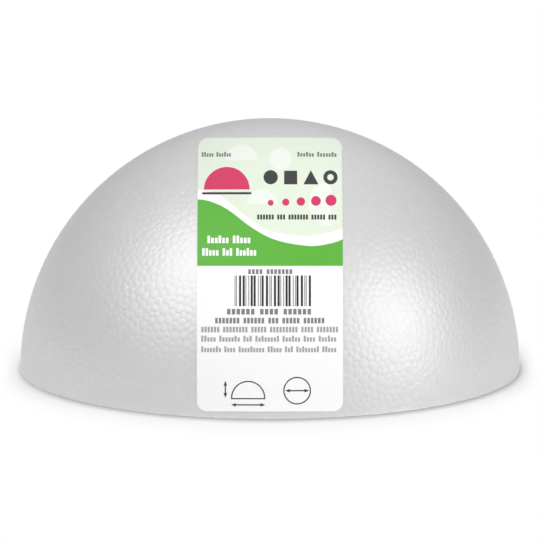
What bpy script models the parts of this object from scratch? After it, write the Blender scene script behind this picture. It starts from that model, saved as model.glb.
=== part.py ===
"""Foam half ball: a solid half sphere of moulded white bead foam, and the paper label stuck on its front.

The origin is the middle of the flat base, +Z is up through the top of the dome, and the label faces -Y.
"""

import math

import bmesh
import bpy
from mathutils import Matrix, Vector

# Driving dimensions of the foam moulding, in metres
BALL_DIAMETER = 0.078
BASE_EDGE_RADIUS = 0.0004

# Driving dimensions of the label, in metres
LABEL_WIDTH = 0.0221
LABEL_CORNER_RADIUS = 0.00155
LABEL_THICKNESS = 0.0001
LABEL_CLEARANCE = 0.0003
# From the top of the dome's outline down to the label's top edge, both seen square to the label's front
LABEL_TOP_MARGIN = 0.0034
# From the base plane up to the middle of the label's bottom edge
LABEL_BASE_MARGIN = 0.0012
# The label's outline is a flat rounded rectangle that leans back by this much before it is pushed onto the dome
LABEL_LEAN = math.radians(10.8)

# How finely the round forms are divided
DOME_SEGMENTS = 96
DOME_RINGS = 24
EDGE_STEPS = 3
LABEL_COLUMNS = 12
LABEL_ROWS = 26
CORNER_STEPS = 4

BALL_RADIUS = BALL_DIAMETER / 2


def plain_material(name, colour, roughness):
    material = bpy.data.materials.new(name)
    material.use_nodes = True
    shader = material.node_tree.nodes["Principled BSDF"]
    shader.inputs["Base Color"].default_value = (*colour, 1.0)
    shader.inputs["Roughness"].default_value = roughness
    shader.inputs["Metallic"].default_value = 0.0
    material.diffuse_color = (*colour, 1.0)
    return material


def object_from(mesh_data, name, material):
    mesh = bpy.data.meshes.new(name)
    mesh_data.to_mesh(mesh)
    mesh_data.free()
    mesh.materials.append(material)
    piece = bpy.data.objects.new(name, mesh)
    bpy.context.scene.collection.objects.link(piece)
    return piece


def half_ball_profile():
    """The turned outline in the XZ plane: round the small base edge, then up the dome to its top."""
    edge_centre_height = BASE_EDGE_RADIUS
    edge_centre_reach = math.sqrt((BALL_RADIUS - BASE_EDGE_RADIUS) ** 2 - edge_centre_height**2)
    dome_start = math.atan2(edge_centre_height, edge_centre_reach)
    profile = [Vector((0.0, 0.0, 0.0))]
    for step in range(EDGE_STEPS):
        angle = -math.pi / 2 + (dome_start + math.pi / 2) * step / EDGE_STEPS
        reach = edge_centre_reach + BASE_EDGE_RADIUS * math.cos(angle)
        height = edge_centre_height + BASE_EDGE_RADIUS * math.sin(angle)
        profile.append(Vector((reach, 0.0, height)))
    for ring in range(DOME_RINGS):
        angle = dome_start + (math.pi / 2 - dome_start) * ring / DOME_RINGS
        profile.append(Vector((BALL_RADIUS * math.cos(angle), 0.0, BALL_RADIUS * math.sin(angle))))
    profile.append(Vector((0.0, 0.0, BALL_RADIUS)))
    return profile


def make_half_ball(material):
    """The profile is spun round +Z into one closed solid, with a flat base."""
    dome = bmesh.new()
    profile = [dome.verts.new(point) for point in half_ball_profile()]
    edges = [dome.edges.new(pair) for pair in zip(profile[:-1], profile[1:])]
    bmesh.ops.spin(
        dome,
        geom=profile + edges,
        cent=(0.0, 0.0, 0.0),
        axis=(0.0, 0.0, 1.0),
        angle=math.tau,
        steps=DOME_SEGMENTS,
        use_merge=True,
    )
    bmesh.ops.remove_doubles(dome, verts=dome.verts, dist=1e-6)
    bmesh.ops.recalc_face_normals(dome, faces=dome.faces)
    piece = object_from(dome, "foam_half_ball", material)
    piece.data.shade_smooth()
    piece.data.set_sharp_from_angle(angle=math.radians(30))
    return piece


def label_rows():
    """The label's outline as rows from bottom to top: the height in the leaning plane, and half the width there."""
    bottom_angle = math.asin(LABEL_BASE_MARGIN / BALL_RADIUS) - LABEL_LEAN
    bottom = BALL_RADIUS * math.sin(bottom_angle)
    top = BALL_RADIUS - LABEL_TOP_MARGIN
    half_width = LABEL_WIDTH / 2
    corner = [
        (
            LABEL_CORNER_RADIUS * (1 - math.cos(math.pi / 2 * step / CORNER_STEPS)),
            LABEL_CORNER_RADIUS * (1 - math.sin(math.pi / 2 * step / CORNER_STEPS)),
        )
        for step in range(CORNER_STEPS + 1)
    ]
    rows = [(bottom + rise, half_width - inset) for rise, inset in corner]
    first = math.asin((bottom + LABEL_CORNER_RADIUS) / BALL_RADIUS)
    last = math.asin((top - LABEL_CORNER_RADIUS) / BALL_RADIUS)
    for step in range(1, LABEL_ROWS):
        angle = first + (last - first) * step / LABEL_ROWS
        rows.append((BALL_RADIUS * math.sin(angle), half_width))
    rows += [(top - rise, half_width - inset) for rise, inset in reversed(corner)]
    return rows


def on_dome(across, height, radius):
    """The point of the leaning plane, pushed straight back onto the front of a dome of this radius."""
    depth = math.sqrt(BALL_RADIUS**2 - across**2 - height**2)
    facing = Vector((across, -depth, height))
    return Matrix.Rotation(-LABEL_LEAN, 3, "X") @ facing * (radius / BALL_RADIUS)


def make_label(material):
    """Two sheets of quads, one on each side of the paper, joined by a rim all round."""
    inner_radius = BALL_RADIUS + LABEL_CLEARANCE
    outer_radius = inner_radius + LABEL_THICKNESS
    label = bmesh.new()
    sheets = []
    for radius in (inner_radius, outer_radius):
        sheets.append(
            [
                [
                    label.verts.new(on_dome(half_width * (2 * column / LABEL_COLUMNS - 1), height, radius))
                    for column in range(LABEL_COLUMNS + 1)
                ]
                for height, half_width in label_rows()
            ]
        )
    for sheet in sheets:
        for lower, upper in zip(sheet[:-1], sheet[1:]):
            for column in range(LABEL_COLUMNS):
                label.faces.new((lower[column], lower[column + 1], upper[column + 1], upper[column]))
    rims = []
    for sheet in sheets:
        left_side = [row[0] for row in sheet]
        right_side = [row[-1] for row in sheet]
        rims.append(sheet[0] + right_side[1:-1] + sheet[-1][::-1] + left_side[-2:0:-1])
    inner_rim, outer_rim = rims
    for place in range(len(inner_rim)):
        after = (place + 1) % len(inner_rim)
        label.faces.new((inner_rim[place], inner_rim[after], outer_rim[after], outer_rim[place]))
    bmesh.ops.recalc_face_normals(label, faces=label.faces)
    piece = object_from(label, "label", material)
    piece.data.shade_smooth()
    piece.data.set_sharp_from_angle(angle=math.radians(30))
    return piece


for leftover in list(bpy.data.objects):
    bpy.data.objects.remove(leftover)

make_half_ball(plain_material("white_bead_foam", colour=(0.78, 0.78, 0.78), roughness=0.5))
make_label(plain_material("label_paper", colour=(0.9, 0.92, 0.9), roughness=0.4))
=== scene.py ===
import math

import bmesh
import bpy
import numpy as np
from mathutils import Matrix, Vector
from mathutils.geometry import delaunay_2d_cdt


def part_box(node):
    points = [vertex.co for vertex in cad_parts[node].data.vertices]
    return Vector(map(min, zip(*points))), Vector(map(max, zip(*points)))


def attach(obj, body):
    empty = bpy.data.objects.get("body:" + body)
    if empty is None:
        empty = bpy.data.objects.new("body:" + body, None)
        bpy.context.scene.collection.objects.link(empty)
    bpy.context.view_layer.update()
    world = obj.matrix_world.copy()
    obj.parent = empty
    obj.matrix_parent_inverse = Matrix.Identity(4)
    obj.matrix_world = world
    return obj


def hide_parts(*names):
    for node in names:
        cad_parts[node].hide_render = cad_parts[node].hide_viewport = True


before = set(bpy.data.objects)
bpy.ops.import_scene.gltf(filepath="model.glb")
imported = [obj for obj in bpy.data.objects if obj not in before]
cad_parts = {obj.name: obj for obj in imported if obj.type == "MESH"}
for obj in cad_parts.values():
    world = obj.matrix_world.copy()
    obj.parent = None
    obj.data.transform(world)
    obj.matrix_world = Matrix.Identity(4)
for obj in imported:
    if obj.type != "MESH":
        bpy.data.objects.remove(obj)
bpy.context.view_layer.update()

# The half ball: one solid moulding of white foam beads, expanded and fused together in a mould.
# Pressed against the mould, each bead ends as a low pillow with five to seven sides, and a fine
# seam runs round it. The base is flat, with a crisp edge.

BALL_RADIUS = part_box("foam_half_ball")[1].z

BEAD_WIDTH = 0.00129
BEAD_SCATTER = 0.60
BEAD_SETTLING = 4
BEAD_SEED = 11
ROWS_BELOW_BASE = 5
NET_ACCURACY = 1e-7

SEAM_WIDTH = 0.00012
SHOULDER_WIDTH = 0.00022
SEAM_DEPTH = 0.000036
SHOULDER_DROP = 0.000018
BEAD_HEIGHT_SPREAD = 0.000004
BEAD_TILT = 0.024
NARROWEST_SHOULDER = 0.5
NARROWEST_CROWN = 0.3
SHARP_FOLD = math.radians(40)

BASE_EDGE_RADIUS = 0.00006
BASE_EDGE_STEPS = 3
BASE_CUT_ACCURACY = 1e-7
CLOSEST_RIM_POINTS = 0.00003

# One smooth, glossy layer stands for a skin of many fused, pearly beads, so its IOR is high
FOAM_COLOUR = (0.62, 0.62, 0.62)
FOAM_ROUGHNESS = 0.46
FOAM_IOR = 2.1
FOAM_SPECULAR = 1.0
# Painted shade: how much darker the seam valleys are drawn
SEAM_PAINTED_SHADE = 0.985
BEAD_TONE_SPREAD = 0.015
SKIN_GRAIN = 3500.0
SKIN_BUMP = 0.20
SKIN_DEPTH = 0.00002
BASE_SEAM_SHARE = 0.14
# Painted shade: how much darker the base's sunk lines are drawn
BASE_SEAM_PAINTED_SHADE = 0.92
BASE_SEAM_BUMP = 0.6
BASE_SEAM_DEPTH = 0.00004


def joined_up(points):
    """Joins points on the ball by triangles, through a flat picture that keeps circles round."""
    flat = points[:, :2] / (1 + points[:, 2:])
    found = delaunay_2d_cdt([Vector(point) for point in flat], [], [], 0, NET_ACCURACY)
    kept = [came_from[0] for came_from in found[3]]
    return points[kept], np.array([tuple(face) for face in found[2]])


def bead_centres():
    """Scattered points on the dome, about a bead apart: a spiral, pushed aside and settled."""
    randoms = np.random.default_rng(BEAD_SEED)
    bead_area = math.sqrt(3) / 2 * BEAD_WIDTH**2
    count = round(4 * math.pi * BALL_RADIUS**2 / bead_area)
    order = np.arange(count)
    height = 1 - (2 * order + 1) / count
    turn = order * math.pi * (3 - math.sqrt(5))
    reach = np.sqrt(1 - height**2)
    points = np.stack([reach * np.cos(turn), reach * np.sin(turn), height], axis=1)
    points = points[height > -ROWS_BELOW_BASE * BEAD_WIDTH / BALL_RADIUS]
    points += randoms.normal(0, BEAD_SCATTER * BEAD_WIDTH / BALL_RADIUS, points.shape)
    points /= np.linalg.norm(points, axis=1, keepdims=True)
    for _ in range(BEAD_SETTLING):
        points, faces = joined_up(points)
        corners = points[faces]
        middles = corners.mean(axis=1)
        first_side = corners[:, 1] - corners[:, 0]
        second_side = corners[:, 2] - corners[:, 0]
        sizes = np.linalg.norm(np.cross(first_side, second_side), axis=1)
        total = np.zeros_like(points)
        shares = np.zeros(len(points))
        for corner in range(3):
            np.add.at(total, faces[:, corner], middles * sizes[:, None])
            np.add.at(shares, faces[:, corner], sizes)
        inner = points[:, 2] > -(ROWS_BELOW_BASE - 1) * BEAD_WIDTH / BALL_RADIUS
        points[inner] = total[inner] / shares[inner, None]
        points /= np.linalg.norm(points, axis=1, keepdims=True)
    return points


def triangulated_dome(points, radius):
    """The net that the beads grow from, one point for each bead."""
    places, faces = joined_up(points)
    mesh = bpy.data.meshes.new("bead_centres")
    mesh.from_pydata((places * radius).tolist(), [], faces.tolist())
    return mesh


def new_node(tree, kind, name=None, **settings):
    """Adds a node of this kind to the tree, with these settings and this label."""
    node = tree.nodes.new(kind)
    for setting, value in settings.items():
        setattr(node, setting, value)
    if name:
        node.label = name
    return node


def fill(tree, socket, value):
    """Sets the socket to a plain value, or links it to another node's result."""
    if isinstance(value, bpy.types.NodeSocket):
        tree.links.new(value, socket)
    else:
        socket.default_value = value


def number(tree, operation, first, second=None, name=None):
    """A Math node on one or two numbers or sockets, and its result."""
    node = new_node(tree, "ShaderNodeMath", name, operation=operation)
    fill(tree, node.inputs[0], first)
    if second is not None:
        fill(tree, node.inputs[1], second)
    return node.outputs[0]


def vector(tree, operation, first, second=None, scale=None):
    """A Vector Math node, and its result: a number for a length or a dot product."""
    node = new_node(tree, "ShaderNodeVectorMath", operation=operation)
    fill(tree, node.inputs[0], first)
    if second is not None:
        fill(tree, node.inputs[1], second)
    if scale is not None:
        fill(tree, node.inputs["Scale"], scale)
    return node.outputs["Value" if operation in ("LENGTH", "DOT_PRODUCT") else "Vector"]


def moulded_bead_tree():
    """Geometry Nodes: each point of the net becomes a bead with a crown, a shoulder and a seam."""
    tree = bpy.data.node_groups.new("moulded_beads", "GeometryNodeTree")
    face = tree.interface
    face.new_socket(name="Net", in_out="INPUT", socket_type="NodeSocketGeometry")
    sizes = ("Seam Width", "Shoulder Width", "Seam Depth", "Shoulder Drop", "Height Spread", "Tilt")
    for name in sizes:
        face.new_socket(name=name, in_out="INPUT", socket_type="NodeSocketFloat")
    face.new_socket(name="Seed", in_out="INPUT", socket_type="NodeSocketInt")
    face.new_socket(name="Foam", in_out="INPUT", socket_type="NodeSocketMaterial")
    face.new_socket(name="Beads", in_out="OUTPUT", socket_type="NodeSocketGeometry")
    link = tree.links.new
    given = new_node(tree, "NodeGroupInput").outputs
    made = new_node(tree, "NodeGroupOutput")

    dual = new_node(tree, "GeometryNodeDualMesh", "one face for each bead")
    link(given["Net"], dual.inputs[0])

    place = new_node(tree, "GeometryNodeInputPosition").outputs[0]
    area = new_node(tree, "GeometryNodeInputMeshFaceArea").outputs[0]
    lean = new_node(tree, "FunctionNodeRandomValue", "which way it leans", data_type="FLOAT_VECTOR")
    lean.inputs[0].default_value = (-1.0, -1.0, -1.0)
    lean.inputs[1].default_value = (1.0, 1.0, 1.0)
    link(given["Seed"], lean.inputs["Seed"])
    chance = new_node(tree, "FunctionNodeRandomValue", "how proud it stands", data_type="FLOAT")
    chance.inputs[2].default_value = -1.0
    chance.inputs[3].default_value = 1.0
    link(given["Seed"], chance.inputs["Seed"])

    keep = new_node(tree, "GeometryNodeCaptureAttribute", "each bead's own facts", domain="FACE")
    link(dual.outputs[0], keep.inputs[0])
    facts = (
        ("VECTOR", "Centre", place),
        ("FLOAT", "Area", area),
        ("VECTOR", "Lean", lean.outputs[0]),
        ("FLOAT", "Chance", chance.outputs[1]),
    )
    for kind, name, value in facts:
        keep.capture_items.new(kind, name)
        link(value, keep.inputs[name])

    tone = new_node(tree, "GeometryNodeStoreNamedAttribute", data_type="FLOAT", domain="FACE")
    tone.inputs["Name"].default_value = "bead_tone"
    link(keep.outputs[0], tone.inputs["Geometry"])
    link(keep.outputs["Chance"], tone.inputs["Value"])

    round_area = number(tree, "DIVIDE", keep.outputs["Area"], math.pi)
    half = number(tree, "SQRT", round_area, name="half the bead across")
    seam_share = number(tree, "DIVIDE", given["Seam Width"], half)
    edge_width = number(tree, "ADD", given["Seam Width"], given["Shoulder Width"])
    edge_share = number(tree, "DIVIDE", edge_width, half)
    shoulder_left = number(tree, "SUBTRACT", 1.0, seam_share)
    shoulder_size = number(tree, "MAXIMUM", shoulder_left, NARROWEST_SHOULDER)
    crown_left = number(tree, "SUBTRACT", 1.0, edge_share)
    crown_size = number(tree, "MAXIMUM", crown_left, NARROWEST_CROWN)
    crown_of_shoulder = number(tree, "DIVIDE", crown_size, shoulder_size)

    outward = vector(tree, "NORMALIZE", place)
    from_centre = vector(tree, "SUBTRACT", place, keep.outputs["Centre"])
    leaning = vector(tree, "DOT_PRODUCT", from_centre, keep.outputs["Lean"])
    tilted = number(tree, "MULTIPLY", leaning, given["Tilt"])
    prouder = number(tree, "MULTIPLY", keep.outputs["Chance"], given["Height Spread"])
    shoulder_depth = number(tree, "SUBTRACT", given["Seam Depth"], given["Shoulder Drop"])
    shoulder_height = number(tree, "ADD", number(tree, "ADD", shoulder_depth, prouder), tilted)

    def raised(geometry, faces_to_take, size, height):
        """Rings of faces grow round a smaller copy of each face, which stands this much higher."""
        rise = new_node(tree, "GeometryNodeExtrudeMesh", mode="FACES")
        rise.inputs["Offset Scale"].default_value = 0.0
        rise.inputs["Individual"].default_value = True
        link(geometry, rise.inputs["Mesh"])
        if faces_to_take:
            link(faces_to_take, rise.inputs["Selection"])
        shrink = new_node(tree, "GeometryNodeScaleElements", domain="FACE")
        link(rise.outputs["Mesh"], shrink.inputs["Geometry"])
        link(rise.outputs["Top"], shrink.inputs["Selection"])
        link(size, shrink.inputs["Scale"])
        raise_top = new_node(tree, "GeometryNodeSetPosition")
        link(shrink.outputs[0], raise_top.inputs["Geometry"])
        link(rise.outputs["Top"], raise_top.inputs["Selection"])
        link(vector(tree, "SCALE", outward, scale=height), raise_top.inputs["Offset"])
        return raise_top.outputs[0], rise.outputs["Top"]

    shoulders, shoulder_tops = raised(tone.outputs[0], None, shoulder_size, shoulder_height)
    crown = new_node(tree, "GeometryNodeStoreNamedAttribute", data_type="FLOAT", domain="POINT")
    crown.inputs["Name"].default_value = "bead_crown"
    link(shoulders, crown.inputs["Geometry"])
    link(shoulder_tops, crown.inputs["Value"])
    crowns, _ = raised(crown.outputs[0], shoulder_tops, crown_of_shoulder, given["Shoulder Drop"])

    smooth = new_node(tree, "GeometryNodeSetShadeSmooth")
    link(crowns, smooth.inputs[0])
    real = new_node(tree, "GeometryNodeRealizeInstances")
    link(smooth.outputs[0], real.inputs[0])
    finish = new_node(tree, "GeometryNodeSetMaterial")
    link(real.outputs[0], finish.inputs["Geometry"])
    link(given["Foam"], finish.inputs["Material"])
    link(finish.outputs[0], made.inputs[0])
    return tree


def made_by_nodes(start_mesh, tree, values, name):
    """Runs the tree on the mesh with its named inputs set: the result is a plain mesh."""
    carrier = bpy.data.objects.new(name + "_start", start_mesh)
    bpy.context.scene.collection.objects.link(carrier)
    modifier = carrier.modifiers.new("nodes", "NODES")
    modifier.node_group = tree
    for item in tree.interface.items_tree:
        if item.in_out == "INPUT" and item.name in values:
            modifier[item.identifier] = values[item.name]
    bpy.context.view_layer.update()
    evaluated = carrier.evaluated_get(bpy.context.evaluated_depsgraph_get())
    mesh = bpy.data.meshes.new_from_object(evaluated)
    carrier.modifiers.remove(modifier)
    bpy.data.objects.remove(carrier)
    mesh.name = name
    return mesh


def graded(tree, value, low, high, start=0.0, end=1.0, name=None, **settings):
    """A Map Range node, and its result: low where the value is at start, high at end."""
    node = new_node(tree, "ShaderNodeMapRange", name, **settings)
    fill(tree, node.inputs["Value"], value)
    fill(tree, node.inputs["From Min"], start)
    fill(tree, node.inputs["From Max"], end)
    fill(tree, node.inputs["To Min"], low)
    fill(tree, node.inputs["To Max"], high)
    return node.outputs[0]


def grain(tree, scale, detail=2.0):
    """A fine noise fixed to the piece, and its result."""
    where = new_node(tree, "ShaderNodeTexCoord")
    noise = new_node(tree, "ShaderNodeTexNoise")
    noise.inputs["Scale"].default_value = scale
    noise.inputs["Detail"].default_value = detail
    fill(tree, noise.inputs["Vector"], where.outputs["Object"])
    return noise.outputs["Fac"]


def relief(tree, height, strength, depth):
    """A Bump node, and its result."""
    node = new_node(tree, "ShaderNodeBump")
    node.inputs["Strength"].default_value = strength
    node.inputs["Distance"].default_value = depth
    fill(tree, node.inputs["Height"], height)
    return node.outputs[0]


def foam_shader(name):
    """A new material of white foam and its shader, still without tones and relief."""
    material = bpy.data.materials.new(name)
    material.use_nodes = True
    shader = material.node_tree.nodes["Principled BSDF"]
    shader.inputs["Roughness"].default_value = FOAM_ROUGHNESS
    shader.inputs["IOR"].default_value = FOAM_IOR
    shader.inputs["Specular IOR Level"].default_value = FOAM_SPECULAR
    return material, shader


def foam_material():
    """The dome: painted shade darkens the seam valleys, each bead of a slightly other tone, with a
    fine skin.
    """
    material, shader = foam_shader("moulded_white_foam")
    tree = material.node_tree
    crown = new_node(tree, "ShaderNodeAttribute", attribute_name="bead_crown")
    tone = new_node(tree, "ShaderNodeAttribute", attribute_name="bead_tone")
    lightest = 1 + BEAD_TONE_SPREAD
    darkest = 1 - BEAD_TONE_SPREAD
    # Painted shade in the seam valleys, where the grooves would lie in shade
    seams = graded(tree, crown.outputs["Fac"], SEAM_PAINTED_SHADE, 1.0)
    beads = graded(tree, tone.outputs["Fac"], darkest, lightest, start=-1.0)
    both = number(tree, "MULTIPLY", seams, beads)
    fill(tree, shader.inputs["Base Color"], vector(tree, "SCALE", FOAM_COLOUR, scale=both))
    skin = relief(tree, grain(tree, SKIN_GRAIN), SKIN_BUMP, SKIN_DEPTH)
    fill(tree, shader.inputs["Normal"], skin)
    return material


def base_material():
    """The flat underside: the same foam, where the seams only draw a fine net of sunk lines, with
    painted shade in them.
    """
    material, shader = foam_shader("moulded_white_foam_base")
    tree = material.node_tree
    where = new_node(tree, "ShaderNodeTexCoord")
    cells = new_node(
        tree, "ShaderNodeTexVoronoi", feature="DISTANCE_TO_EDGE", voronoi_dimensions="2D"
    )
    cells.inputs["Scale"].default_value = 1 / BEAD_WIDTH
    fill(tree, cells.inputs["Vector"], where.outputs["Object"])
    lines = graded(tree, cells.outputs["Distance"], 0.0, 1.0, end=BASE_SEAM_SHARE)
    # Painted shade in the sunk lines of the base
    shade = graded(tree, lines, BASE_SEAM_PAINTED_SHADE, 1.0)
    fill(tree, shader.inputs["Base Color"], vector(tree, "SCALE", FOAM_COLOUR, scale=shade))
    sunk = relief(tree, lines, BASE_SEAM_BUMP, BASE_SEAM_DEPTH)
    fill(tree, shader.inputs["Normal"], sunk)
    return material


def close_the_base(mesh, base_slot):
    """Cuts the beads level above the floor, rounds the base edge and closes the flat base."""
    edge_reach = math.sqrt((BALL_RADIUS - BASE_EDGE_RADIUS) ** 2 - BASE_EDGE_RADIUS**2)
    edge_start = math.atan2(BASE_EDGE_RADIUS, edge_reach)
    body = bmesh.new()
    body.from_mesh(mesh)
    bmesh.ops.bisect_plane(
        body,
        geom=body.verts[:] + body.edges[:] + body.faces[:],
        dist=BASE_CUT_ACCURACY,
        plane_co=(0.0, 0.0, BALL_RADIUS * math.sin(edge_start)),
        plane_no=(0.0, 0.0, 1.0),
        clear_inner=True,
    )
    rim = [vert for vert in body.verts if vert.is_boundary]
    bmesh.ops.remove_doubles(body, verts=rim, dist=CLOSEST_RIM_POINTS)
    # Point by point from here, because Blender's own extrusion has another order in each run
    ring = [vert for vert in body.verts if vert.is_boundary]
    open_edges = [edge for edge in body.edges if edge.is_boundary]
    sides = [(*edge.verts, edge.link_faces[0]) for edge in open_edges]
    for step in range(1, BASE_EDGE_STEPS + 1):
        angle = edge_start - (edge_start + math.pi / 2) * step / BASE_EDGE_STEPS
        reach = edge_reach + BASE_EDGE_RADIUS * math.cos(angle)
        height = BASE_EDGE_RADIUS + BASE_EDGE_RADIUS * math.sin(angle)
        below = {}
        for vert in ring:
            outward = Vector((vert.co.x, vert.co.y, 0.0)).normalized()
            below[vert] = body.verts.new(outward * reach + Vector((0.0, 0.0, height)), vert)
        for start, end, bead in sides:
            body.faces.new((start, end, below[end], below[start]), bead)
        ring = list(below.values())
        sides = [(below[start], below[end], bead) for start, end, bead in sides]
    for face in body.faces:
        face.smooth = True
    middle = body.verts.new((0.0, 0.0, height))
    for start, end, _ in sides:
        face = body.faces.new((start, end, middle))
        face.smooth = False
        face.material_index = base_slot
    bmesh.ops.recalc_face_normals(body, faces=body.faces)
    body.to_mesh(mesh)
    body.free()


white_foam = foam_material()
bead_mesh = made_by_nodes(
    triangulated_dome(bead_centres(), BALL_RADIUS - SEAM_DEPTH),
    moulded_bead_tree(),
    {
        "Seam Width": SEAM_WIDTH,
        "Shoulder Width": SHOULDER_WIDTH,
        "Seam Depth": SEAM_DEPTH,
        "Shoulder Drop": SHOULDER_DROP,
        "Height Spread": BEAD_HEIGHT_SPREAD,
        "Tilt": BEAD_TILT,
        "Seed": BEAD_SEED,
        "Foam": white_foam,
    },
    "moulded_half_ball",
)
bead_mesh.materials.append(base_material())
close_the_base(bead_mesh, base_slot=1)
bead_mesh.set_sharp_from_angle(angle=SHARP_FOLD)
half_ball = bpy.data.objects.new("moulded_half_ball", bead_mesh)
bpy.context.scene.collection.objects.link(half_ball)
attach(half_ball, "root")
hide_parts("foam_half_ball")

# The label: a sheet of coated paper with a pressure-sensitive back, printed in eight inks and
# smoothed down on the front of the dome. Its outline and print are laid out flat, in millimetres
# across and up from the ball's middle, in a plane that leans back, then pushed onto the dome.

MM = 0.001
LABEL_LEAN = math.radians(10.8)
LABEL_WIDTH = 22.1
LABEL_TOP = 35.6
LABEL_BOTTOM = -6.15
LABEL_CORNER_RADIUS = 1.55
LABEL_THICKNESS = 0.1
LABEL_LIFT = 0.01
LABEL_GRID = 1.1
LABEL_ACCURACY = 1e-4
LABEL_RIM_FOLD = math.radians(40)
CORNER_STEPS = 8

LABEL_INKS = {
    "paper": (0.985, 0.985, 0.985),
    "pale_green": (0.79, 0.868, 0.733),
    "faint_green": (0.87, 0.92, 0.845),
    "green": (0.113, 0.462, 0.043),
    "pink": (0.675, 0.042, 0.139),
    "dark": (0.047, 0.048, 0.047),
    "black": (0.02, 0.02, 0.02),
    "grey": (0.22, 0.22, 0.22),
    "pale_grey": (0.38, 0.38, 0.38),
}
INK_ROUGHNESS = 0.5
INK_SPECULAR = 0.35
MOTTLE_GRAIN = 900.0
MOTTLE_DETAIL = 3.0
MOTTLE_SPREAD = 0.015
TOOTH_GRAIN = 6000.0
TOOTH_BUMP = 0.15
TOOTH_DEPTH = 0.00001

# The coloured fields, from the top: pale green, a white band that swings down to the right,
# green, white paper
BAND_TOP_EDGE = [
    (-15.0, 27.0), (-11.6, 27.48), (-10.0, 27.4), (-7.5, 26.5), (-3.9, 23.55),
    (-0.5, 21.35), (4.6, 20.42), (8.0, 20.73), (11.2, 21.6), (15.0, 23.0),
]
BAND_LOW_EDGE = [
    (-15.0, 25.6), (-11.6, 25.98), (-9.2, 25.7), (-6.4, 24.4), (-2.7, 21.63),
    (0.9, 19.78), (5.9, 18.88), (9.2, 19.28), (11.2, 20.0), (15.0, 22.0),
]
GREEN_FIELD_BOTTOM = 15.85

# Shares of a sign's width that stay free after it and between words, and of a capital's height
SIGN_SPACE = 0.28
WORD_SPACE = 0.9
SMALL_SIGN = 0.72

# The thin lines and arrowheads of the drawings
DRAWN_LINE = 0.2
DRAWN_GAP = 0.01
ARROW_LENGTH = 0.75
ARROW_HALF = 0.28


def rounded_box(left, right, low, high, radius, steps):
    """A box with round corners, lying between these limits."""
    corners = [
        (right - radius, high - radius, 0.0),
        (left + radius, high - radius, 0.5),
        (left + radius, low + radius, 1.0),
        (right - radius, low + radius, 1.5),
    ]
    outline = []
    for x, y, start in corners:
        for step in range(steps + 1):
            angle = math.pi * (start + 0.5 * step / steps)
            outline.append((x + radius * math.cos(angle), y + radius * math.sin(angle)))
    return outline


def rectangle(left, right, low, high):
    return [(right, high), (left, high), (left, low), (right, low)]


def print_row(left, right, base, height, words, capitals=False):
    """Print too small to read: an upright block for each sign, in words of so many signs."""
    pitch = (right - left) / (sum(words) + WORD_SPACE * (len(words) - 1) - SIGN_SPACE)
    blocks = []
    at = left
    for word in words:
        for sign in range(word):
            tall = capitals or sign == 0 or (sign * 7 + word) % 5 == 2
            top = base + height * (1.0 if tall else SMALL_SIGN)
            blocks.append(rectangle(at, at + pitch * (1 - SIGN_SPACE), base, top))
            at += pitch
        at += pitch * WORD_SPACE
    return blocks


def disc(x, y, radius, start=0.0, end=2.0, steps=24):
    """A disc, or the part of one between two angles given in half turns."""
    closed = end - start >= 2.0
    outline = []
    for step in range(steps if closed else steps + 1):
        angle = math.pi * (start + (end - start) * step / steps)
        outline.append((x + radius * math.cos(angle), y + radius * math.sin(angle)))
    return outline


def bar_row(left, right, low, high, count):
    """Upright bars whose widths and spaces follow a plain rule, and stand for nothing."""
    widths = [1 + (index * index * 3 + index) % 4 for index in range(count)]
    spaces = [1 + (index * 5) % 3 for index in range(count - 1)]
    unit = (right - left) / (sum(widths) + sum(spaces))
    bars = []
    at = left
    for index in range(count):
        bars.append(rectangle(at, at + widths[index] * unit, low, high))
        at += widths[index] * unit
        if index < count - 1:
            at += spaces[index] * unit
    return bars


def half_ring(x, y, radius, start, steps=20):
    """Half of a thin drawn circle."""
    outer = disc(x, y, radius, start, start + 1.0, steps)
    inner = disc(x, y, radius - DRAWN_LINE, start, start + 1.0, steps)
    return outer + inner[::-1]


def ring_drawing(x, y, radius):
    return [half_ring(x, y, radius, 0.0), half_ring(x, y, radius, 1.0)]


def half_ball_drawing(x, base, radius):
    base_line = rectangle(x - radius, x + radius, base - DRAWN_LINE, base - DRAWN_GAP)
    return [half_ring(x, base, radius, 0.0), base_line]


def across_arrow(left, right, y):
    """A thin line with an arrowhead at each end."""
    half = DRAWN_LINE / 2
    shaft_left = left + ARROW_LENGTH
    shaft_right = right - ARROW_LENGTH
    shaft = rectangle(shaft_left, shaft_right, y - half, y + half)
    left_head = [(left, y), (shaft_left, y - ARROW_HALF), (shaft_left, y + ARROW_HALF)]
    right_head = [(right, y), (shaft_right, y + ARROW_HALF), (shaft_right, y - ARROW_HALF)]
    return [shaft, left_head, right_head]


def up_arrow(x, low, high):
    return [[(across, up) for up, across in outline] for outline in across_arrow(low, high, x)]


label_shapes = []


def print_on_label(ink, outlines):
    """Adds outlines in this ink. Where two overlap, the first one printed is the one that shows."""
    for outline in outlines:
        xs = [point[0] for point in outline]
        ys = [point[1] for point in outline]
        label_shapes.append((ink, outline, min(xs), max(xs), min(ys), max(ys)))


# Two small lines at the top corners
print_on_label("grey", print_row(-10.5, -6.0, 32.6, 0.75, [5, 6]))
print_on_label("grey", print_row(4.2, 10.2, 32.6, 0.75, [6, 7]))
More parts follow.
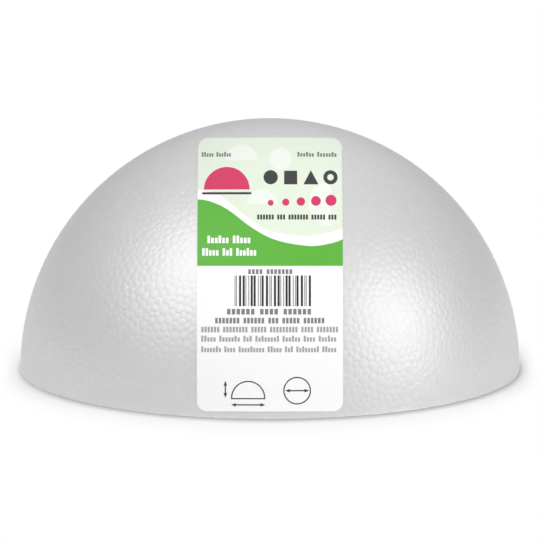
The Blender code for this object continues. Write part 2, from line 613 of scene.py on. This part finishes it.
# A pink half ball that stands on a line, beside a ball, a block, a cone and a ring
print_on_label("pink", [disc(-6.6, 27.5, 3.5, 0.0, 1.0)])
print_on_label("dark", [rounded_box(-10.4, -2.8, 26.75, 27.1, radius=0.175, steps=3)])
print_on_label("dark", [disc(0.1, 29.4, 1.1)])
print_on_label("dark", [rectangle(2.15, 4.15, 28.3, 30.4)])
print_on_label("dark", [[(7.4, 28.3), (6.25, 30.5), (5.1, 28.3)]])
print_on_label("pale_green", [disc(9.25, 29.4, 0.5, steps=16)])
print_on_label("dark", [disc(9.25, 29.4, 1.1)])
# Balls of five sizes in a row
for place, radius in enumerate((0.45, 0.55, 0.65, 0.75, 0.85)):
    print_on_label("pink", [disc(0.1 + 2.3 * place, 25.0 + radius, radius)])
# The line of dark print under them
print_on_label("dark", print_row(-1.95, 10.1, 22.9, 0.75, [6, 3, 7, 5, 3], capitals=True))
# Two white lines in the green field
print_on_label("paper", print_row(-9.5, -3.0, 19.3, 1.15, [6, 5]))
print_on_label("paper", print_row(-10.3, -2.1, 17.4, 1.15, [5, 3, 6]))
# The row of upright bars, with a short line above and below it
print_on_label("grey", print_row(-3.3, 3.35, 14.6, 0.75, [4, 7], capitals=True))
print_on_label("black", bar_row(-5.35, 6.2, 9.75, 14.4, 27))
print_on_label("grey", print_row(-6.5, 6.2, 8.5, 0.85, [6, 4, 6], capitals=True))
# Four lines of small print
print_on_label("grey", print_row(-8.3, 8.2, 7.15, 0.85, [7, 6, 3, 5, 6], capitals=True))
print_on_label("pale_grey", print_row(-10.4, 10.3, 5.8, 0.85, [6, 8, 5, 9, 4, 7], capitals=True))
print_on_label("pale_grey", print_row(-10.4, 10.0, 4.4, 0.9, [5, 7, 3, 8, 6, 4, 6]))
print_on_label("pale_grey", print_row(-10.4, 10.0, 2.8, 0.9, [7, 4, 9, 5, 3, 8, 5]))
# A drawing of the half ball from the side and from above, each with its dimension line
print_on_label("dark", half_ball_drawing(-3.3, -4.1, 2.6))
print_on_label("dark", across_arrow(-5.9, -0.7, -5.15))
print_on_label("dark", up_arrow(-6.75, -4.1, -1.5))
print_on_label("dark", ring_drawing(4.1, -3.0, 2.1))
print_on_label("dark", across_arrow(2.25, 5.95, -3.0))
# Faint large balls and half balls in the pale green field, under everything else there
print_on_label("faint_green", [disc(-4.4, 32.0, 2.5, 0.0, 1.0)])
print_on_label("faint_green", [disc(1.6, 32.3, 1.7)])
print_on_label("faint_green", [disc(9.3, 25.4, 3.4, 0.5, 1.5)])
print_on_label("faint_green", [disc(-1.2, 25.3, 2.3, 0.0, 1.0)])


def smooth_curve(points, steps=8):
    """A smooth line through all points but the first and last, in even steps between each pair."""
    line = []
    for index in range(1, len(points) - 2):
        before, start, end, after = (Vector(points[index + shift]) for shift in (-1, 0, 1, 2))
        slope = end - before
        bend = 2 * before - 5 * start + 4 * end - after
        twist = 3 * start - before - 3 * end + after
        for step in range(steps):
            t = step / steps
            line.append(0.5 * (2 * start + slope * t + bend * t**2 + twist * t**3))
    line.append(Vector(points[-2]))
    return [(point.x, point.y) for point in line]


def height_at(line, across):
    """How high a line that runs from left to right stands at this place."""
    for (x0, y0), (x1, y1) in zip(line[:-1], line[1:]):
        if x0 <= across <= x1:
            return y0 + (y1 - y0) * (across - x0) / (x1 - x0)
    return line[0][1] if across < line[0][0] else line[-1][1]


def is_inside(outline, x, y):
    inside = False
    for (x0, y0), (x1, y1) in zip(outline, outline[1:] + outline[:1]):
        if (y0 > y) != (y1 > y) and x < x0 + (x1 - x0) * (y - y0) / (y1 - y0):
            inside = not inside
    return inside


band_top = smooth_curve(BAND_TOP_EDGE)
band_low = smooth_curve(BAND_LOW_EDGE)


def ink_at(x, y):
    """Which ink the print has at this place of the flat label."""
    for ink, outline, left, right, low, high in label_shapes:
        if left <= x <= right and low <= y <= high and is_inside(outline, x, y):
            return ink
    if y > height_at(band_top, x):
        return "pale_green"
    if y > height_at(band_low, x):
        return "paper"
    return "green" if y > GREEN_FIELD_BOTTOM else "paper"


def with_closer_points(line, closed):
    """The same line with points added, no further apart than the grid's, to bend on the dome."""
    ends = line[1:] + line[:1] if closed else line[1:]
    closer = []
    for (x0, y0), (x1, y1) in zip(line, ends):
        steps = max(1, math.ceil(math.hypot(x1 - x0, y1 - y0) / LABEL_GRID))
        for step in range(steps):
            closer.append((x0 + (x1 - x0) * step / steps, y0 + (y1 - y0) * step / steps))
    return closer if closed else closer + [line[-1]]


def flat_label():
    """The flat sheet, cut along the edges of the print: its points, and its triangles with inks."""
    half = LABEL_WIDTH / 2
    outline = rounded_box(-half, half, LABEL_BOTTOM, LABEL_TOP, LABEL_CORNER_RADIUS, CORNER_STEPS)
    points = []
    edges = []

    def add_line(line, closed):
        line = with_closer_points(line, closed)
        first = len(points)
        points.extend(Vector(point) for point in line)
        edges.extend((first + index, first + index + 1) for index in range(len(line) - 1))
        if closed:
            edges.append((first + len(line) - 1, first))

    add_line(outline, True)
    add_line(band_top, False)
    add_line(band_low, False)
    add_line([(-LABEL_WIDTH, GREEN_FIELD_BOTTOM), (LABEL_WIDTH, GREEN_FIELD_BOTTOM)], False)
    for _, printed, *_ in label_shapes:
        add_line(printed, True)
    rows = int((LABEL_TOP - LABEL_BOTTOM) / LABEL_GRID)
    columns = int(LABEL_WIDTH / LABEL_GRID)
    for row in range(1, rows):
        for column in range(columns + 1):
            across = -half + LABEL_GRID * (column + 0.5 * (row % 2))
            points.append(Vector((across, LABEL_BOTTOM + LABEL_GRID * row)))
    found = delaunay_2d_cdt(points, edges, [], 0, LABEL_ACCURACY)
    flat_points = [(point.x, point.y) for point in found[0]]
    triangles = []
    for triangle in found[2]:
        x = sum(flat_points[index][0] for index in triangle) / 3
        y = sum(flat_points[index][1] for index in triangle) / 3
        if is_inside(outline, x, y):
            triangles.append((tuple(triangle), ink_at(x, y)))
    return flat_points, triangles


def on_dome(x, y, radius):
    """The point of the leaning plane, in millimetres, pushed back onto the front of the dome."""
    depth = math.sqrt((BALL_RADIUS / MM) ** 2 - x**2 - y**2)
    facing = Vector((x, -depth, y)) * MM
    return Matrix.Rotation(-LABEL_LEAN, 3, "X") @ facing * (radius / BALL_RADIUS)


def ink_material(name, colour):
    """Print on coated paper: an even colour with the paper's faint mottle and tooth."""
    material = bpy.data.materials.new("label_" + name)
    material.use_nodes = True
    tree = material.node_tree
    shader = tree.nodes["Principled BSDF"]
    shader.inputs["Roughness"].default_value = INK_ROUGHNESS
    shader.inputs["Specular IOR Level"].default_value = INK_SPECULAR
    mottle = grain(tree, MOTTLE_GRAIN, MOTTLE_DETAIL)
    tint = graded(tree, mottle, 1 - MOTTLE_SPREAD, 1 + MOTTLE_SPREAD)
    fill(tree, shader.inputs["Base Color"], vector(tree, "SCALE", colour, scale=tint))
    tooth = relief(tree, grain(tree, TOOTH_GRAIN), TOOTH_BUMP, TOOTH_DEPTH)
    fill(tree, shader.inputs["Normal"], tooth)
    return material


def label_sheet(flat_points, triangles):
    """The paper on the dome: the flat triangles as its front and its back, joined round the rim."""
    used = sorted({index for triangle, ink in triangles for index in triangle})
    back_radius = BALL_RADIUS + LABEL_LIFT * MM
    front_radius = back_radius + LABEL_THICKNESS * MM
    sheet = bmesh.new()
    front = {index: sheet.verts.new(on_dome(*flat_points[index], front_radius)) for index in used}
    back = {index: sheet.verts.new(on_dome(*flat_points[index], back_radius)) for index in used}
    inks = list(LABEL_INKS)
    neighbours = {}
    for triangle, ink in triangles:
        printed = sheet.faces.new([front[index] for index in triangle])
        printed.material_index = inks.index(ink)
        sheet.faces.new([back[index] for index in reversed(triangle)])
        for start, end in zip(triangle, triangle[1:] + triangle[:1]):
            neighbours.setdefault(frozenset((start, end)), []).append((start, end))
    for sides in neighbours.values():
        if len(sides) == 1:
            start, end = sides[0]
            sheet.faces.new((front[end], front[start], back[start], back[end]))
    bmesh.ops.recalc_face_normals(sheet, faces=sheet.faces)
    for face in sheet.faces:
        face.smooth = True
    mesh = bpy.data.meshes.new("printed_label")
    sheet.to_mesh(mesh)
    sheet.free()
    mesh.set_sharp_from_angle(angle=LABEL_RIM_FOLD)
    return mesh


label_mesh = label_sheet(*flat_label())
for name, colour in LABEL_INKS.items():
    label_mesh.materials.append(ink_material(name, colour))
label = bpy.data.objects.new("printed_label", label_mesh)
bpy.context.scene.collection.objects.link(label)
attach(label, "root")
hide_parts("label")

# The floor: a wide white table that keeps the half ball's shadow. Away from the half ball it turns
# into the plain white of the background. The shadow is short at the sides and long at the front
# and the back, and darkest where the base edge touches the table.

FLOOR_SIZE = 30.0
FLOOR_DROP = 0.00001
FLOOR_COLOUR = (0.82, 0.82, 0.82)
SHADOW_REACH = 0.016
SHADOW_FADE = 2.1
SIDE_SHARE = 0.19
CONTACT_SHADE = 0.50
CONTACT_SHADE_AT_SIDES = 0.80
CONTACT_REACH = 0.0042
# Painted glow of the table round the base edge, which lights the foam
EDGE_GLOW = 0.62
EDGE_GLOW_REACH = 0.0014

floor_material = bpy.data.materials.new("white_table")
floor_material.use_nodes = True
floor_tree = floor_material.node_tree
floor_tree.nodes.clear()
floor_out = new_node(floor_tree, "ShaderNodeOutputMaterial")

# One for a ray from the eye, from a gloss or through something clear, none for light that falls
rays = new_node(floor_tree, "ShaderNodeLightPath").outputs
eye_or_gloss = number(floor_tree, "MAXIMUM", rays["Is Camera Ray"], rays["Is Glossy Ray"])
seen = number(floor_tree, "MAXIMUM", eye_or_gloss, rays["Is Transmission Ray"])

# How far a place lies from the base edge, in steps that are shorter beside the half ball
where = new_node(floor_tree, "ShaderNodeTexCoord").outputs["Object"]
from_middle = vector(floor_tree, "LENGTH", where)
from_edge = number(floor_tree, "SUBTRACT", from_middle, BALL_RADIUS)
towards = new_node(floor_tree, "ShaderNodeSeparateXYZ")
fill(floor_tree, towards.inputs[0], vector(floor_tree, "NORMALIZE", where))
front_share = number(floor_tree, "ABSOLUTE", towards.outputs["Y"])
front_squared = number(floor_tree, "MULTIPLY", front_share, front_share)
reach_squared = graded(floor_tree, front_squared, SIDE_SHARE**2, 1.0)
reach = number(floor_tree, "SQRT", reach_squared, name="the shadow is shorter at the sides")
away = number(floor_tree, "DIVIDE", from_edge, reach)

# The contact shade, which only the eye sees, on the table's own colour
darkest = graded(floor_tree, front_share, CONTACT_SHADE_AT_SIDES, CONTACT_SHADE)
contact = graded(
    floor_tree, away, darkest, 1.0, end=CONTACT_REACH, interpolation_type="SMOOTHSTEP"
)
contact_seen = new_node(floor_tree, "ShaderNodeMix", "only the eye sees the contact shade")
fill(floor_tree, contact_seen.inputs[0], seen)
fill(floor_tree, contact_seen.inputs[2], 1.0)
fill(floor_tree, contact_seen.inputs[3], contact)
table_colour = vector(floor_tree, "SCALE", FLOOR_COLOUR, scale=contact_seen.outputs[0])
table = new_node(floor_tree, "ShaderNodeBsdfDiffuse")
fill(floor_tree, table.inputs["Color"], table_colour)

# White instead of the table where the shadow ends
shade_left = graded(floor_tree, away, 1.0, 0.0, end=SHADOW_REACH)
shadow = number(floor_tree, "POWER", shade_left, SHADOW_FADE)
whiteness = number(floor_tree, "SUBTRACT", 1.0, shadow)
white_seen = number(floor_tree, "MULTIPLY", whiteness, seen)
white = new_node(floor_tree, "ShaderNodeEmission")
blend = new_node(floor_tree, "ShaderNodeMixShader")
fill(floor_tree, blend.inputs[0], white_seen)
floor_tree.links.new(table.outputs[0], blend.inputs[1])
floor_tree.links.new(white.outputs[0], blend.inputs[2])

# A painted glow: near the base edge the table gives off light that the eye doesn't see, which
# lights the foam just above it
glow_left = graded(floor_tree, from_edge, EDGE_GLOW, 0.0, end=EDGE_GLOW_REACH)
unseen = number(floor_tree, "SUBTRACT", 1.0, seen)
glow = new_node(floor_tree, "ShaderNodeEmission")
fill(floor_tree, glow.inputs["Strength"], number(floor_tree, "MULTIPLY", glow_left, unseen))
with_glow = new_node(floor_tree, "ShaderNodeAddShader")
floor_tree.links.new(blend.outputs[0], with_glow.inputs[0])
floor_tree.links.new(glow.outputs[0], with_glow.inputs[1])
floor_tree.links.new(with_glow.outputs[0], floor_out.inputs["Surface"])

floor_mesh = bpy.data.meshes.new("floor")
corner_signs = ((-1, -1), (1, -1), (1, 1), (-1, 1))
floor_corners = [(x * FLOOR_SIZE / 2, y * FLOOR_SIZE / 2, -FLOOR_DROP) for x, y in corner_signs]
floor_mesh.from_pydata(floor_corners, [], [(0, 1, 2, 3)])
floor_mesh.materials.append(floor_material)
floor = bpy.data.objects.new("floor", floor_mesh)
bpy.context.scene.collection.objects.link(floor)

# The light: a soft surround that is brightest overhead and white at the horizon, where the floor
# ends, a broad lamp high on the left of the front, a smaller one low on the right, and a weak one
# high at the back.

SURROUND_AT_SIDES = 0.056
SURROUND_OVERHEAD = 0.575
HORIZON_WHITE = 0.02
HORIZON_FADE = 0.045
LAMP_DISTANCE = 1.5

world = bpy.data.worlds.new("white_surround")
bpy.context.scene.world = world
world.use_nodes = True
world_tree = world.node_tree
surround = world_tree.nodes["Background"]
surround.inputs["Color"].default_value = (1.0, 1.0, 1.0, 1.0)
direction = new_node(world_tree, "ShaderNodeTexCoord")
facing = new_node(world_tree, "ShaderNodeSeparateXYZ")
fill(world_tree, facing.inputs[0], direction.outputs["Generated"])
rise = facing.outputs["Z"]
overhead = graded(world_tree, rise, SURROUND_AT_SIDES, SURROUND_OVERHEAD)
level = number(world_tree, "ABSOLUTE", rise)
horizon = graded(world_tree, level, 1.0, 0.0, start=HORIZON_WHITE, end=HORIZON_FADE)
fill(world_tree, surround.inputs["Strength"], number(world_tree, "MAXIMUM", overhead, horizon))


def soft_lamp(name, towards, size, power):
    """A round soft lamp that shines on the half ball from this direction."""
    data = bpy.data.lights.new(name, "AREA")
    data.shape = "DISK"
    data.size = size
    data.energy = power
    lamp = bpy.data.objects.new(name, data)
    direction = Vector(towards).normalized()
    lamp.location = direction * LAMP_DISTANCE
    lamp.rotation_mode = "QUATERNION"
    lamp.rotation_quaternion = direction.to_track_quat("Z", "Y")
    lamp.visible_camera = False
    bpy.context.scene.collection.objects.link(lamp)


soft_lamp("lamp_left", towards=(-0.47, -0.42, 0.78), size=1.40, power=12.9)
soft_lamp("lamp_right", towards=(0.83, -0.395, 0.395), size=1.05, power=9.8)
soft_lamp("lamp_back", towards=(0.0, 0.60, 0.80), size=1.60, power=1.1)

# The camera: a long lens, a little above the floor and square to the label. Colours come out as
# they are written.

CAMERA_DISTANCE = 1.25
CAMERA_RISE = math.radians(10.83)
CAMERA_AIM = Vector((0.0, 0.0, 0.01553))
CAMERA_LENS = 534.3
SENSOR_WIDTH = 36.0
NEAREST_SEEN = 0.05
FURTHEST_SEEN = 50.0

camera_data = bpy.data.cameras.new("camera")
camera_data.lens = CAMERA_LENS
camera_data.sensor_width = SENSOR_WIDTH
camera_data.clip_start = NEAREST_SEEN
camera_data.clip_end = FURTHEST_SEEN
camera = bpy.data.objects.new("camera", camera_data)
back = Vector((0.0, -math.cos(CAMERA_RISE), math.sin(CAMERA_RISE)))
camera.location = CAMERA_AIM + back * CAMERA_DISTANCE
camera.rotation_mode = "QUATERNION"
camera.rotation_quaternion = back.to_track_quat("Z", "Y")
bpy.context.scene.collection.objects.link(camera)
bpy.context.scene.camera = camera

bpy.context.scene.view_settings.view_transform = "Standard"
